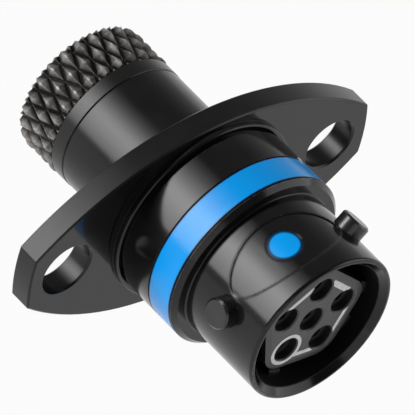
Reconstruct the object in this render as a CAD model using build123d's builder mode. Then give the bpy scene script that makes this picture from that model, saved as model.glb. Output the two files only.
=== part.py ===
from build123d import *
import os
from math import cos, radians, sin

# Two-hole flange receptacle of a miniature bayonet connector, in millimetres and degrees.
# The connector's axis is Y and its mating end looks along -Y. A station is a distance along the
# axis from the flange's mounting face, positive towards the mating end.
# An angle round the axis is counted from +Z (up) towards +X.

# Flange
hole_pitch = 20.0
hole_radius = 1.75
hole_edge_break = 0.12
flange_thickness = 1.6
flange_end_wall = 1.05
flange_side_margin = 0.27
flange_side_radius = 19.1
flange_corner_radius = 0.25
flange_edge_break = 0.1

# Collar between the flange and the bayonet barrel, with its foot ring, relief groove and marking land
foot_ring_height = 0.26
foot_ring_length = 0.42
foot_ring_round = 0.14
relief_groove_depth = 0.2
relief_groove_width = 0.3
marking_land_length = 2.32
shoulder_height = 0.94
shoulder_length = 0.35
shoulder_chamfer = 0.32

# Colour band, let into the collar
band_width = 1.9
band_thickness = 0.19
band_seat_clearance = 0.01
band_side_gap = 0.08

# Bayonet barrel
barrel_radius = 5.28
barrel_wall = 0.68
barrel_length = 6.18
barrel_bore_depth = 7.63
rim_round = 0.22
rim_lead_chamfer = 0.4
barrel_root_round = 0.12

# Rear barrel of the shell
rear_barrel_radius = 4.55
rear_barrel_wall = 0.5
rear_barrel_length = 5.75
seam_chamfer = 0.05
shell_bore_chamfer = 0.15

# Web inside the shell that the front insert seats against
web_thickness = 0.6
web_hole_clearance = 0.08

# Keys in the barrel's bore: one wide and four narrow ribs, placed from the index dot
index_angle = -13.7
key_height = 0.28
key_inset = 1.5
key_lead_chamfer = 0.12
master_key_width = 1.6
minor_key_width = 0.95
minor_key_angles = (105, 140, 215, 265)

# Bayonet pins, measured from the barrel's rim
pin_count = 3
pin_radius = 0.96
pin_inset = 3.1
pin_height = 0.84
pin_root_inset = 0.08
pin_tip_chamfer = 0.12
pin_root_chamfer = 0.08
pin_hole_clearance = 0.01

# Index dot in its shallow oval relief
dot_radius = 1.06
dot_inset = 3.13
dot_thickness = 0.09
dot_seat_clearance = 0.01
oval_half_width = 3.85
oval_half_length = 1.93
oval_depth = 0.06

# Rear adaptor: smooth collar, diamond knurl and threaded spigot
adaptor_collar_step = 0.03
adaptor_collar_length = 0.98
knurl_groove_depth = 0.34
knurl_groove_width = 0.12
knurl_length = 3.17
knurl_teeth = 26
knurl_row_pitch = 1.1
knurl_rows = 4
knurl_first_row = 0.42
knurl_crest_step = 0.1
knurl_depth = 0.38
knurl_apex_height = 0.08
knurl_end_chamfer = 0.14
spigot_clearance = 0.03
spigot_wall = 0.4
spigot_chamfer = 0.15
adaptor_bore_chamfer = 0.2

# Cavity layout: one in the middle and five round it
outer_cavities = 5
cavity_circle_radius = 2.33
cavity_angle = 8.76

# Front insert
insert_clearance = 0.03
insert_base_length = 3.0
tower_recess = 0.93
tower_corner_radius = 1.5
tower_bevel_width = 0.4
tower_bevel_depth = 0.08
entry_radius = 0.84
entry_depth = 0.55
entry_lip_chamfer = 0.08
pin_entry_radius = 0.44
pin_entry_length = 0.45
hood_clearance = 0.04
collar_seat_clearance = 0.06

# Rear insert and the retention clips in it
rear_insert_length = 3.8
clip_bore_radius = 1.0
clip_lip_radius = 0.8
clip_lip_length = 0.4
clip_clearance = 0.02
clip_thickness = 0.09
clip_end_gap = 0.02
clip_sleeve_length = 1.9
clip_tine_count = 4
clip_tine_gap = 0.34
clip_tip_clearance = 0.03
clip_slit_width = 0.16

# Contacts: gold-plated body with a stainless hood over its socket end
contact_tail_length = 6.3
crimp_radius = 0.6
crimp_wall = 0.16
crimp_bore_depth = 4.3
crimp_lead_chamfer = 0.06
inspection_hole_radius = 0.2
inspection_hole_inset = 4.0
neck_length = 1.1
neck_taper_length = 0.35
neck_radius = 0.46
contact_collar_radius = 0.73
contact_collar_length = 0.6
hood_radius = 0.62
hood_wall = 0.09
hood_fit = 0.02
hood_lip_radius = 0.44
hood_lip_thickness = 0.12
socket_wall = 0.13
socket_bore_depth = 5.0
socket_slot_width = 0.14
socket_slot_length = 3.6
socket_recess = 0.7

# Sealing grommet
grommet_flange_length = 1.8
grommet_end_inset = 0.8
grommet_bore_clearance = 0.03
grommet_nose_clearance = 0.06
grommet_mouth_radius = 0.82
grommet_mouth_depth = 0.35
grommet_edge_round = 0.2
seal_web_radius = 0.4
seal_web_count = 3
seal_web_thickness = 0.3
seal_web_pitch = 1.2
seal_web_first_gap = 0.5

# Margin of cutting shapes past the surface they cut, and tolerance of a match between sizes
cut_margin = 0.5
match_tolerance = 0.001

# Stations that follow, from the flange forwards
foot_ring_front = flange_thickness + foot_ring_length
marking_land_rear = foot_ring_front + relief_groove_width
band_groove_rear = marking_land_rear + marking_land_length
band_rear = band_groove_rear + band_side_gap
band_groove_front = band_rear + band_width + band_side_gap
collar_front = band_groove_front + shoulder_length
barrel_front = collar_front + barrel_length
pin_station = barrel_front - pin_inset
dot_station = barrel_front - dot_inset
web_front = barrel_front - barrel_bore_depth
web_rear = web_front - web_thickness
key_front = barrel_front - key_inset
tower_front = barrel_front - tower_recess

# Stations that follow, from the web to the rear
insert_base_rear = web_rear - insert_base_length
rear_insert_rear = insert_base_rear - rear_insert_length
grommet_flange_rear = rear_insert_rear - grommet_flange_length
adaptor_front = -rear_barrel_length
knurl_groove_front = adaptor_front - adaptor_collar_length
knurl_front = knurl_groove_front - knurl_groove_width
knurl_rear = knurl_front - knurl_length
knurl_pattern_front = knurl_front - knurl_first_row + knurl_row_pitch
grommet_rear = knurl_rear + grommet_end_inset
contact_front = tower_front - entry_depth - pin_entry_length
contact_rear = insert_base_rear - contact_tail_length
collar_seat_front = insert_base_rear + contact_collar_length

# Radii that follow
collar_radius = barrel_radius + shoulder_height
foot_ring_radius = collar_radius + foot_ring_height
band_seat_radius = collar_radius - band_thickness - band_seat_clearance
barrel_bore_radius = barrel_radius - barrel_wall
key_tip_radius = barrel_bore_radius - key_height
relief_radius = barrel_radius - oval_depth
dot_back_radius = relief_radius - dot_thickness
pin_tip_radius = barrel_radius + pin_height
pin_root_radius = barrel_bore_radius + pin_root_inset
shell_bore_radius = rear_barrel_radius - rear_barrel_wall
insert_radius = shell_bore_radius - insert_clearance
web_hole_radius = cavity_circle_radius + tower_corner_radius + web_hole_clearance
spigot_radius = shell_bore_radius - spigot_clearance
adaptor_bore_radius = spigot_radius - spigot_wall
adaptor_collar_radius = rear_barrel_radius + adaptor_collar_step
knurl_crest_radius = rear_barrel_radius + knurl_crest_step
knurl_root_radius = knurl_crest_radius - knurl_depth
knurl_groove_radius = knurl_crest_radius - knurl_groove_depth
hood_bore_radius = hood_radius + hood_clearance
socket_radius = hood_radius - hood_wall - hood_fit
crimp_bore_radius = crimp_radius - crimp_wall
grommet_bore_radius = crimp_radius + grommet_bore_clearance
clip_outer_radius = clip_bore_radius - clip_clearance
clip_tip_radius = crimp_radius + clip_tip_clearance
collar_seat_radius = contact_collar_radius + collar_seat_clearance

# Flange outline that follows: ends turned round the axis, sides just clear of the foot ring
flange_end_radius = hole_pitch / 2 + hole_radius + flange_end_wall
flange_width = 2 * (foot_ring_radius + flange_side_margin)

# Pin positions, evenly spread from the index dot
pin_angles = [index_angle + (k + 0.5) * 360 / pin_count for k in range(pin_count)]

# Drawing planes: half sections hold (radius, station) points, cross sections look at the mating end
half_section = Plane(origin=(0, 0, 0), x_dir=(1, 0, 0), z_dir=(0, 0, -1))


def cross_section(station):
    """Plane square to the axis at a station, with its normal towards the mating end."""
    return Plane(origin=(0, -station, 0), x_dir=(1, 0, 0), z_dir=(0, -1, 0))


def radial_plane(angle, station, radius):
    """Plane that faces outwards at an angle round the axis, with its local x across the axis."""
    outward = (sin(radians(angle)), 0, cos(radians(angle)))
    across = (cos(radians(angle)), 0, -sin(radians(angle)))
    origin = (radius * outward[0], -station, radius * outward[2])
    return Plane(origin=origin, x_dir=across, z_dir=outward)


def cavity_centres():
    """Centres (x, z) of the middle cavity and then of the outer ones."""
    step = 360 / outer_cavities
    angles = [radians(cavity_angle + k * step) for k in range(outer_cavities)]
    ring = [(cavity_circle_radius * sin(angle), cavity_circle_radius * cos(angle)) for angle in angles]
    return [(0, 0)] + ring


def cavity_section(centre):
    """Half section plane through the axis of one cavity."""
    return Plane(origin=(centre[0], 0, centre[1]), x_dir=(1, 0, 0), z_dir=(0, 0, -1))


def cavity_axis(centre):
    """Axis of one cavity, along the connector."""
    return Axis((centre[0], 0, centre[1]), (0, 1, 0))


def corner(profile, radius, station):
    """The corner of a half section profile that lies nearest to a radius and station."""
    return profile.vertices().sort_by_distance((radius, station, 0))[0]


def round_edge(piece, radius, station):
    """The circular edge of a piece that has a given radius and station."""
    circles = piece.edges().filter_by(GeomType.CIRCLE)
    circles = circles.filter_by(lambda edge: abs(edge.radius - radius) < match_tolerance)
    return circles.filter_by(lambda edge: abs(edge.arc_center.Y + station) < match_tolerance)


def save(piece, label):
    """Label a finished piece and write its file."""
    piece.part.label = label
    export_step(piece.part, f"parts/{label}.step")


os.makedirs("parts", exist_ok=True)


# Shell: flange, collar, bayonet barrel and rear barrel turned and milled from one bar
with BuildPart() as shell:
    side_centre = flange_side_radius - flange_width / 2
    with BuildSketch(cross_section(0)):
        with Locations((0, side_centre)):
            Circle(flange_side_radius)
        with Locations((0, -side_centre)):
            Circle(flange_side_radius, mode=Mode.INTERSECT)
        Circle(flange_end_radius, mode=Mode.INTERSECT)
    extrude(amount=flange_thickness)
    fillet(shell.edges().filter_by(Axis.Y), flange_corner_radius)
    flange_rims = shell.edges().group_by(Axis.Y)
    chamfer(flange_rims[0] + flange_rims[-1], flange_edge_break)

    with BuildSketch(half_section) as outer_profile:
        with BuildLine():
            Polyline(
                (0, -rear_barrel_length),
                (rear_barrel_radius, -rear_barrel_length),
                (rear_barrel_radius, flange_thickness / 2),
                (foot_ring_radius, flange_thickness / 2),
                (foot_ring_radius, foot_ring_front),
                (collar_radius - relief_groove_depth, foot_ring_front),
                (collar_radius - relief_groove_depth, marking_land_rear),
                (collar_radius, marking_land_rear),
                (collar_radius, band_groove_rear),
                (band_seat_radius, band_groove_rear),
                (band_seat_radius, band_groove_front),
                (collar_radius, band_groove_front),
                (collar_radius, collar_front),
                (barrel_radius, collar_front),
                (barrel_radius, barrel_front),
                (0, barrel_front),
                close=True,
            )
        make_face()
        chamfer(corner(outer_profile, rear_barrel_radius, -rear_barrel_length), seam_chamfer)
        fillet(corner(outer_profile, foot_ring_radius, foot_ring_front), foot_ring_round)
        chamfer(corner(outer_profile, collar_radius, collar_front), shoulder_chamfer)
        fillet(corner(outer_profile, barrel_radius, collar_front), barrel_root_round)
        fillet(corner(outer_profile, barrel_radius, barrel_front), rim_round)
    revolve(axis=Axis.Y)

    with BuildSketch(half_section):
        with BuildLine():
            Polyline(
                (0, -rear_barrel_length),
                (shell_bore_radius, -rear_barrel_length),
                (shell_bore_radius, web_rear),
                (web_hole_radius, web_rear),
                (web_hole_radius, web_front),
                (barrel_bore_radius, web_front),
                (barrel_bore_radius, barrel_front),
                (0, barrel_front),
                close=True,
            )
        make_face()
    revolve(axis=Axis.Y, mode=Mode.SUBTRACT)
    chamfer(round_edge(shell, barrel_bore_radius, barrel_front), rim_lead_chamfer)
    chamfer(round_edge(shell, shell_bore_radius, -rear_barrel_length), shell_bore_chamfer)

    keys = [(index_angle, master_key_width)]
    keys += [(index_angle + offset, minor_key_width) for offset in minor_key_angles]
    with BuildSketch(cross_section(web_front)):
        for key_angle, key_width in keys:
            with Locations(Rotation(0, 0, -key_angle)):
                with Locations((0, barrel_bore_radius)):
                    Rectangle(key_width, 2 * (key_height + cut_margin))
    key_bars = extrude(amount=key_front - web_front, mode=Mode.PRIVATE)
    with BuildSketch(half_section) as key_profile:
        with BuildLine():
            Polyline(
                (key_tip_radius, web_front),
                (barrel_bore_radius + key_height, web_front),
                (barrel_bore_radius + key_height, key_front),
                (key_tip_radius, key_front),
                close=True,
            )
        make_face()
        chamfer(corner(key_profile, key_tip_radius, key_front), key_lead_chamfer)
    key_ring = revolve(axis=Axis.Y, mode=Mode.PRIVATE)
    add(key_bars & key_ring)

    for pin_angle in pin_angles:
        with BuildSketch(radial_plane(pin_angle, pin_station, web_hole_radius)):
            Circle(pin_radius + pin_hole_clearance)
        extrude(amount=pin_tip_radius - web_hole_radius, mode=Mode.SUBTRACT)

    with BuildSketch(radial_plane(index_angle, dot_station, 0)):
        Ellipse(oval_half_width, oval_half_length)
    oval_cut = extrude(amount=collar_radius, mode=Mode.PRIVATE)
    with BuildSketch(radial_plane(index_angle, dot_station, 0)):
        Circle(dot_radius + dot_seat_clearance)
    dot_cut = extrude(amount=collar_radius, mode=Mode.PRIVATE)
    with BuildSketch(half_section):
        with Locations(((relief_radius + collar_radius) / 2, dot_station)):
            Rectangle(collar_radius - relief_radius, 2 * (oval_half_length + cut_margin))
    oval_ring = revolve(axis=Axis.Y, mode=Mode.PRIVATE)
    with BuildSketch(half_section):
        with Locations(((dot_back_radius + collar_radius) / 2, dot_station)):
            Rectangle(collar_radius - dot_back_radius, 2 * (dot_radius + cut_margin))
    dot_ring = revolve(axis=Axis.Y, mode=Mode.PRIVATE)
    add(oval_cut & oval_ring, mode=Mode.SUBTRACT)
    add(dot_cut & dot_ring, mode=Mode.SUBTRACT)

    with BuildSketch(cross_section(0)):
        with GridLocations(hole_pitch, 0, 2, 1):
            Circle(hole_radius)
    extrude(amount=flange_thickness, mode=Mode.SUBTRACT)
    hole_rims = shell.edges().filter_by(GeomType.CIRCLE)
    hole_rims = hole_rims.filter_by(lambda edge: abs(edge.radius - hole_radius) < match_tolerance)
    chamfer(hole_rims, hole_edge_break)
save(shell, "shell")


# Colour band in its groove round the collar
with BuildPart() as colour_band:
    with BuildSketch(cross_section(band_rear)):
        Circle(collar_radius)
        Circle(collar_radius - band_thickness, mode=Mode.SUBTRACT)
    extrude(amount=band_width)
save(colour_band, "colour_band")


# Index dot, a thin enamel disc that follows the barrel's curve
with BuildPart() as index_dot:
    with BuildSketch(radial_plane(index_angle, dot_station, 0)):
        Circle(dot_radius)
    extrude(amount=collar_radius)
    with BuildSketch(half_section):
        with Locations(((dot_back_radius + relief_radius) / 2, dot_station)):
            Rectangle(dot_thickness, 2 * (dot_radius + cut_margin))
    revolve(axis=Axis.Y, mode=Mode.INTERSECT)
save(index_dot, "index_dot")


# Bayonet pins, pressed into the barrel wall between the index dot and its far side
for index, pin_angle in enumerate(pin_angles):
    with BuildPart() as bayonet_pin:
        with BuildSketch(radial_plane(pin_angle, pin_station, pin_root_radius)):
            Circle(pin_radius)
        extrude(amount=pin_tip_radius - pin_root_radius)
        pin_ends = bayonet_pin.faces().filter_by(GeomType.PLANE)
        outward = Vector(sin(radians(pin_angle)), 0, cos(radians(pin_angle)))
        pin_ends = pin_ends.sort_by(Axis((0, 0, 0), outward))
        chamfer(pin_ends[-1].edges(), pin_tip_chamfer)
        chamfer(pin_ends[0].edges(), pin_root_chamfer)
    save(bayonet_pin, f"bayonet_pin_{index + 1}")


# Rear adaptor: a spigot into the shell, a smooth collar and a diamond knurl
def knurl_block():
    """Solid disc with pyramids all round, between grooves that cross as two opposite helices."""
    step = 360 / knurl_teeth

    def point(row, turn, radius):
        angle = radians(turn * step)
        return (radius * sin(angle), row * knurl_row_pitch - knurl_pattern_front, radius * cos(angle))

    def groove_crossing(row, turn):
        return point(row, turn, knurl_root_radius)

    def apex(row, turn):
        return point(row, turn, knurl_crest_radius + knurl_apex_height)

    faces = []
    for row in range(knurl_rows + 1):
        for tooth in range(knurl_teeth):
            left = tooth + (row % 2) / 2
            for next_row in (row - 1, row + 1):
                if 0 <= next_row <= knurl_rows:
                    tip = apex(row, left + 0.5)
                    far = groove_crossing(next_row, left + 0.5)
                    for side in (left, left + 1):
                        faces.append(Face(Wire.make_polygon([groove_crossing(row, side), tip, far])))
    for row in (0, knurl_rows):
        rim = []
        for tooth in range(knurl_teeth):
            left = tooth + (row % 2) / 2
            rim += [groove_crossing(row, left), apex(row, left + 0.5)]
        faces.append(Face(Wire.make_polygon(rim)))
    return Solid(Shell(faces))


with BuildPart() as rear_adaptor:
    add(knurl_block())
    with BuildSketch(half_section) as knurl_envelope:
        with BuildLine():
            Polyline(
                (0, knurl_rear),
                (knurl_crest_radius, knurl_rear),
                (knurl_crest_radius, knurl_front),
                (0, knurl_front),
                close=True,
            )
        make_face()
        chamfer(corner(knurl_envelope, knurl_crest_radius, knurl_rear), knurl_end_chamfer)
        chamfer(corner(knurl_envelope, knurl_crest_radius, knurl_front), knurl_end_chamfer / 2)
    revolve(axis=Axis.Y, mode=Mode.INTERSECT)
    with BuildSketch(half_section) as adaptor_profile:
        with BuildLine():
            Polyline(
                (0, knurl_front),
                (knurl_groove_radius, knurl_front),
                (knurl_groove_radius, knurl_groove_front),
                (adaptor_collar_radius, knurl_groove_front),
                (adaptor_collar_radius, adaptor_front),
                (spigot_radius, adaptor_front),
                (spigot_radius, grommet_flange_rear),
                (0, grommet_flange_rear),
                close=True,
            )
        make_face()
        chamfer(corner(adaptor_profile, adaptor_collar_radius, adaptor_front), seam_chamfer)
        chamfer(corner(adaptor_profile, spigot_radius, grommet_flange_rear), spigot_chamfer)
    revolve(axis=Axis.Y)
    with BuildSketch(half_section):
        with BuildLine():
            Polyline(
                (0, knurl_rear),
                (adaptor_bore_radius + adaptor_bore_chamfer, knurl_rear),
                (adaptor_bore_radius, knurl_rear + adaptor_bore_chamfer),
                (adaptor_bore_radius, grommet_flange_rear),
                (0, grommet_flange_rear),
                close=True,
            )
        make_face()
    revolve(axis=Axis.Y, mode=Mode.SUBTRACT)
save(rear_adaptor, "rear_adaptor")


# Front insert: a round base behind the web and a tower with five rounded corners
with BuildPart() as front_insert:
    with BuildSketch(cross_section(insert_base_rear)):
        Circle(insert_radius)
    extrude(amount=web_rear - insert_base_rear)
    with BuildSketch(cross_section(web_rear)):
        with Locations(*cavity_centres()[1:]):
            Circle(tower_corner_radius)
        make_hull()
    extrude(amount=tower_front - web_rear)
    tower_rim = front_insert.faces().sort_by(Axis.Y)[0].edges()
    chamfer(tower_rim, tower_bevel_depth, tower_bevel_width)
    for centre in cavity_centres():
        with BuildSketch(cavity_section(centre)):
            with BuildLine():
                Polyline(
                    (0, insert_base_rear),
                    (collar_seat_radius, insert_base_rear),
                    (collar_seat_radius, collar_seat_front),
                    (hood_bore_radius, collar_seat_front),
                    (hood_bore_radius, contact_front),
                    (pin_entry_radius, contact_front),
                    (pin_entry_radius, tower_front - entry_depth),
                    (entry_radius, tower_front - entry_depth),
                    (entry_radius, tower_front - entry_lip_chamfer),
                    (entry_radius + entry_lip_chamfer, tower_front),
                    (0, tower_front),
                    close=True,
                )
            make_face()
        revolve(axis=cavity_axis(centre), mode=Mode.SUBTRACT)
save(front_insert, "front_insert")


# Rear insert: holds a retention clip in each cavity
with BuildPart() as rear_insert:
    with BuildSketch(cross_section(rear_insert_rear)):
        Circle(insert_radius)
        with Locations(*cavity_centres()):
            Circle(clip_lip_radius, mode=Mode.SUBTRACT)
    extrude(amount=rear_insert_length)
    with BuildSketch(cross_section(rear_insert_rear + clip_lip_length)):
        with Locations(*cavity_centres()):
            Circle(clip_bore_radius)
    extrude(amount=rear_insert_length - clip_lip_length, mode=Mode.SUBTRACT)
save(rear_insert, "rear_insert")


# Retention clips: rolled sleeves whose tines stop the contact's collar
clip_rear = rear_insert_rear + clip_lip_length + clip_end_gap
for index, centre in enumerate(cavity_centres()):
    with BuildPart() as retention_clip:
        with BuildSketch(cavity_section(centre)):
            tine_root = clip_rear + clip_sleeve_length
            tine_tip = insert_base_rear - clip_end_gap
            with BuildLine():
                Polyline(
                    (clip_outer_radius - clip_thickness, clip_rear),
                    (clip_outer_radius, clip_rear),
                    (clip_outer_radius, tine_root),
                    (clip_tip_radius + clip_thickness, tine_tip),
                    (clip_tip_radius, tine_tip),
                    (clip_outer_radius - clip_thickness, tine_root),
                    close=True,
                )
            make_face()
        revolve(axis=cavity_axis(centre))
        with BuildSketch(cross_section(tine_root)):
            with Locations(centre):
                with PolarLocations(0, clip_tine_count // 2, angular_range=180):
                    Rectangle(2 * clip_bore_radius, clip_tine_gap)
        extrude(amount=tine_tip - tine_root, mode=Mode.SUBTRACT)
        with BuildSketch(cross_section(clip_rear)):
            with Locations((centre[0] + clip_bore_radius / 2, centre[1])):
                Rectangle(clip_bore_radius, clip_slit_width)
        extrude(amount=tine_root - clip_rear, mode=Mode.SUBTRACT)
    save(retention_clip, f"retention_clip_{index + 1}")


# Socket contacts: a gold-plated body with a crimp barrel behind and a split socket in front
socket_front = contact_front - socket_recess
for index, centre in enumerate(cavity_centres()):
    with BuildPart() as contact_body:
        with BuildSketch(cavity_section(centre)) as body_profile:
            with BuildLine():
                Polyline(
                    (0, contact_rear),
                    (crimp_radius, contact_rear),
                    (crimp_radius, insert_base_rear - neck_length - neck_taper_length),
                    (neck_radius, insert_base_rear - neck_length),
                    (neck_radius, insert_base_rear),
                    (contact_collar_radius, insert_base_rear),
                    (contact_collar_radius, collar_seat_front),
                    (socket_radius, collar_seat_front),
                    (socket_radius, socket_front),
                    (0, socket_front),
                    close=True,
                )
            make_face()
            chamfer(corner(body_profile, crimp_radius, contact_rear), crimp_lead_chamfer)
        revolve(axis=cavity_axis(centre))
        with BuildSketch(cross_section(contact_rear)):
            with Locations(centre):
                Circle(crimp_bore_radius)
        extrude(amount=crimp_bore_depth, mode=Mode.SUBTRACT)
        with BuildSketch(cross_section(socket_front - socket_bore_depth)):
            with Locations(centre):
                Circle(socket_radius - socket_wall)
        extrude(amount=socket_bore_depth, mode=Mode.SUBTRACT)
        with BuildSketch(cross_section(socket_front - socket_slot_length)):
            with Locations(centre):
                Rectangle(2 * hood_radius, socket_slot_width)
        extrude(amount=socket_slot_length, mode=Mode.SUBTRACT)
        hole_plane = Plane(origin=(centre[0], -contact_rear - inspection_hole_inset, centre[1]))
        with BuildSketch(hole_plane):
            Circle(inspection_hole_radius)
        extrude(amount=crimp_radius, mode=Mode.SUBTRACT)
    save(contact_body, f"contact_body_{index + 1}")

    with BuildPart() as contact_hood:
        with BuildSketch(cavity_section(centre)) as hood_profile:
            with BuildLine():
                Polyline(
                    (hood_radius - hood_wall, collar_seat_front),
                    (hood_radius, collar_seat_front),
                    (hood_radius, contact_front),
                    (hood_lip_radius, contact_front),
                    (hood_lip_radius, contact_front - hood_lip_thickness),
                    (hood_radius - hood_wall, contact_front - hood_lip_thickness),
                    close=True,
                )
            make_face()
            fillet(corner(hood_profile, hood_radius, contact_front), hood_wall)
        revolve(axis=cavity_axis(centre))
    save(contact_hood, f"contact_hood_{index + 1}")


# Sealing grommet: flange clamped by the adaptor's spigot, nose inside its bore
with BuildPart() as sealing_grommet:
    with BuildSketch(half_section) as grommet_profile:
        nose_radius = adaptor_bore_radius - grommet_nose_clearance
        with BuildLine():
            Polyline(
                (0, grommet_rear),
                (nose_radius, grommet_rear),
                (nose_radius, grommet_flange_rear),
                (insert_radius, grommet_flange_rear),
                (insert_radius, rear_insert_rear),
                (0, rear_insert_rear),
                close=True,
            )
        make_face()
        fillet(corner(grommet_profile, nose_radius, grommet_rear), grommet_edge_round)
    revolve(axis=Axis.Y)
    bore_steps = [(0, rear_insert_rear), (grommet_bore_radius, rear_insert_rear)]
    web_start = contact_rear - seal_web_first_gap
    for web in range(seal_web_count):
        front = web_start - web * seal_web_pitch
        back = front - seal_web_thickness
        bore_steps += [(grommet_bore_radius, front), (seal_web_radius, front)]
        bore_steps += [(seal_web_radius, back), (grommet_bore_radius, back)]
    bore_steps += [(grommet_bore_radius, grommet_rear + grommet_mouth_depth)]
    bore_steps += [(grommet_mouth_radius, grommet_rear), (0, grommet_rear)]
    for centre in cavity_centres():
        with BuildSketch(cavity_section(centre)):
            with BuildLine():
                Polyline(*bore_steps, close=True)
            make_face()
        revolve(axis=cavity_axis(centre), mode=Mode.SUBTRACT)
save(sealing_grommet, "sealing_grommet")
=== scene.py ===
"""Look of a miniature bayonet receptacle: its finishes, a plain studio and the camera.

Everything is in metres in the connector's own frame. The axis is Y, the mating end looks along -Y,
X runs through the two flange holes, and angles round the axis are counted from +Z towards +X.
"""

from __future__ import annotations

import logging
import math
from abc import ABC, abstractmethod
from dataclasses import dataclass, replace
from enum import Enum
from functools import cached_property

import bmesh
import bpy
from mathutils import Matrix, Vector


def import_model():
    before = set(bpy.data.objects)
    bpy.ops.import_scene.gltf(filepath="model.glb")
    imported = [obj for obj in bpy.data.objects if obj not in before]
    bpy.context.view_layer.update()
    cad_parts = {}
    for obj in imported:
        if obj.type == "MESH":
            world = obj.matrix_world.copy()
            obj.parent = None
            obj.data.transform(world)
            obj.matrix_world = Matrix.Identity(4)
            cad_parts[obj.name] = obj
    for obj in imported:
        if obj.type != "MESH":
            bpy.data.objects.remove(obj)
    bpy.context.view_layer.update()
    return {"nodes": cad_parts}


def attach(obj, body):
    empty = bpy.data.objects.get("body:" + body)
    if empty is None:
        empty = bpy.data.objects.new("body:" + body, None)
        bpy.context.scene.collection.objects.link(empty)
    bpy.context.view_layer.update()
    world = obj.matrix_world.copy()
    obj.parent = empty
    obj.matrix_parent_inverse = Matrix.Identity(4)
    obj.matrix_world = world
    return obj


MM = 0.001
log = logging.getLogger("connector")

Colour = tuple[float, float, float]
Point = tuple[float, float, float]
Span = tuple[float, float]
Socket = bpy.types.NodeSocket
Source = Socket | float | Colour | Vector

WHITE: Colour = (1.0, 1.0, 1.0)

# Where the sockets for colours lie in a mix node: factor, lower and upper colour, and the result
MIX_INPUTS = (0, 6, 7)
MIX_OUTPUT = 2

# The range in which most of a grain's heights lie
GRAIN_HEIGHTS: Span = (0.3, 0.7)


class Axis(Enum):
    """One axis of a vector, by the name of its socket."""

    X = "X"
    Y = "Y"
    Z = "Z"


class Operation(Enum):
    """What a node does with its numbers or vectors."""

    ADD = "ADD"
    SUBTRACT = "SUBTRACT"
    MULTIPLY = "MULTIPLY"
    DIVIDE = "DIVIDE"
    POWER = "POWER"
    MAXIMUM = "MAXIMUM"
    ABSOLUTE = "ABSOLUTE"
    LENGTH = "LENGTH"


@dataclass(frozen=True)
class Ramp:
    """A way from one range of values to another, held at both ends."""

    low: float
    high: float
    to_low: Source = 0.0
    to_high: Source = 1.0


@dataclass(frozen=True)
class Pattern:
    """A noise: its cells per metre, its octaves and the strength of each finer one."""

    scale: Source
    detail: float
    rough: float = 0.5


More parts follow.
